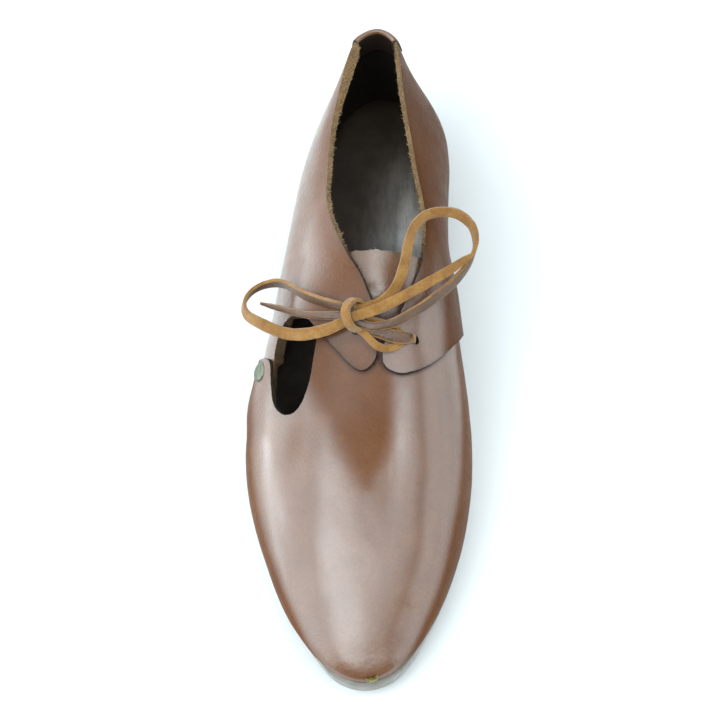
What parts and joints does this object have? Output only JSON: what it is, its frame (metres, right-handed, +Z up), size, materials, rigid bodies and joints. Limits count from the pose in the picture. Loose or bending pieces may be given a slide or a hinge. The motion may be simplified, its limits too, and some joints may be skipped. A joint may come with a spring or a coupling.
{
  "type": "leather shoe",
  "caption": "Brown leather tie shoe for the right foot, with hollow upper, open collar and throat, teardrop side cut-out, thin sole, low stacked heel and thong bow.",
  "frame": {"origin": "under the middle of the shoe without its lace bow, on the floor plane that heel and forefoot stand on", "axes": "+Z up, +Y towards the heel, toe at -Y, medial (inner) side at +X"},
  "size_m": [0.0992, 0.2734, 0.079],
  "materials": {
    "upper_leather": "smooth brown leather, soft sheen",
    "tongue_leather": "smooth brown leather, softer and duller",
    "insole_leather": "dark polished leather",
    "sole_leather": "worn sole leather with a greyish edge",
    "heel_leather": "stacked leather lifts",
    "rivet_metal": "worn, greenish",
    "tack_brass": "worn",
    "lace_thong": "suede side of a leather thong"
  },
  "bodies": {
    "root": {"upper": "upper_leather", "tongue": "tongue_leather", "insole": "insole_leather", "outsole": "sole_leather", "heel": "heel_leather", "lobe_lateral": "upper_leather", "lobe_medial": "upper_leather", "heel_tab": "upper_leather", "rivet": "rivet_metal", "toe_tack": "tack_brass", "lace_bar": "lace_thong", "lace_knot": "lace_thong", "lace_loop_lateral": "lace_thong", "lace_loop_medial": "lace_thong", "lace_end_lateral": "lace_thong", "lace_end_medial": "lace_thong"}
  },
  "joints": []
}
